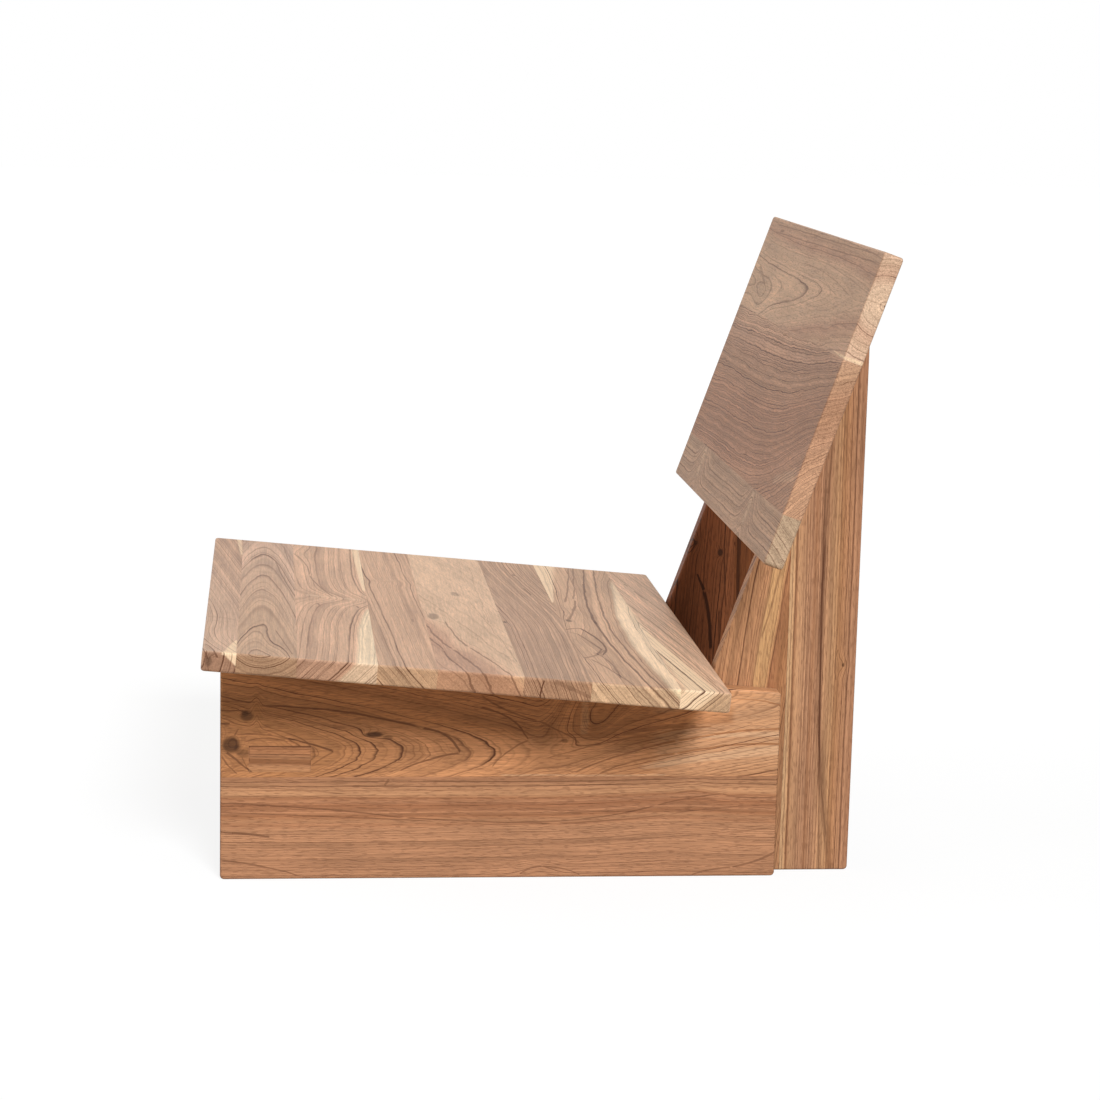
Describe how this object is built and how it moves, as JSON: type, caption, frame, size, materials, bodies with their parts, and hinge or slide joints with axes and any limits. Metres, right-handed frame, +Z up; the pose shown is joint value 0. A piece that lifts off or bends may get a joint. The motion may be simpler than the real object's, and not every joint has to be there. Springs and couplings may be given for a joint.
{
  "type": "lounge chair",
  "caption": "Low armless lounge chair of solid teak boards: a wide sloping seat on board sides, with a leaning backrest slab carried by upright posts behind it.",
  "frame": {"origin": "on the floor, under the middle of the chair's outside box", "axes": "+X to the sitter's left, which is the side nearest the camera in the picture, +Y to the back, +Z up; the seat's front edge faces -Y"},
  "size_m": [0.74, 0.794, 0.773],
  "materials": {
    "seat_teak": "planed and sanded, thin matt oil",
    "backrest_teak": "planed and sanded, thin matt oil",
    "side_teak": "planed and sanded, thin matt oil",
    "patch_teak": "planed and sanded, thin matt oil",
    "post_teak": "planed and sanded, thin matt oil",
    "inner_teak": "planed, unfinished",
    "dowel_wood": "turned, raw",
    "screw_steel": "zinc plated"
  },
  "bodies": {
    "root": {"seat_stave_1": "seat_teak", "seat_stave_2": "seat_teak", "seat_stave_3": "seat_teak", "seat_stave_4": "seat_teak", "seat_stave_5": "seat_teak", "seat_stave_6": "seat_teak", "seat_stave_7": "seat_teak", "seat_stave_8": "seat_teak", "backrest_lower_stave": "backrest_teak", "backrest_middle_stave": "backrest_teak", "backrest_upper_stave": "backrest_teak", "left_side_lower_board": "side_teak", "left_side_upper_board": "side_teak", "left_side_patch": "patch_teak", "right_side_lower_board": "side_teak", "right_side_upper_board": "side_teak", "left_post_front_board": "post_teak", "left_post_rear_board": "post_teak", "right_post_front_board": "post_teak", "right_post_rear_board": "post_teak", "front_rail": "inner_teak", "rear_rail": "inner_teak", "left_seat_cleat": "inner_teak", "right_seat_cleat": "inner_teak", "left_backrest_cleat": "inner_teak", "right_backrest_cleat": "inner_teak", "seat_stave_dowels": "dowel_wood", "backrest_stave_dowels": "dowel_wood", "side_board_dowels": "dowel_wood", "post_board_dowels": "dowel_wood", "rail_dowels": "dowel_wood", "seat_screws": "screw_steel", "seat_cleat_screws": "screw_steel", "post_screws": "screw_steel", "backrest_screws": "screw_steel", "backrest_cleat_screws": "screw_steel"}
  },
  "joints": []
}
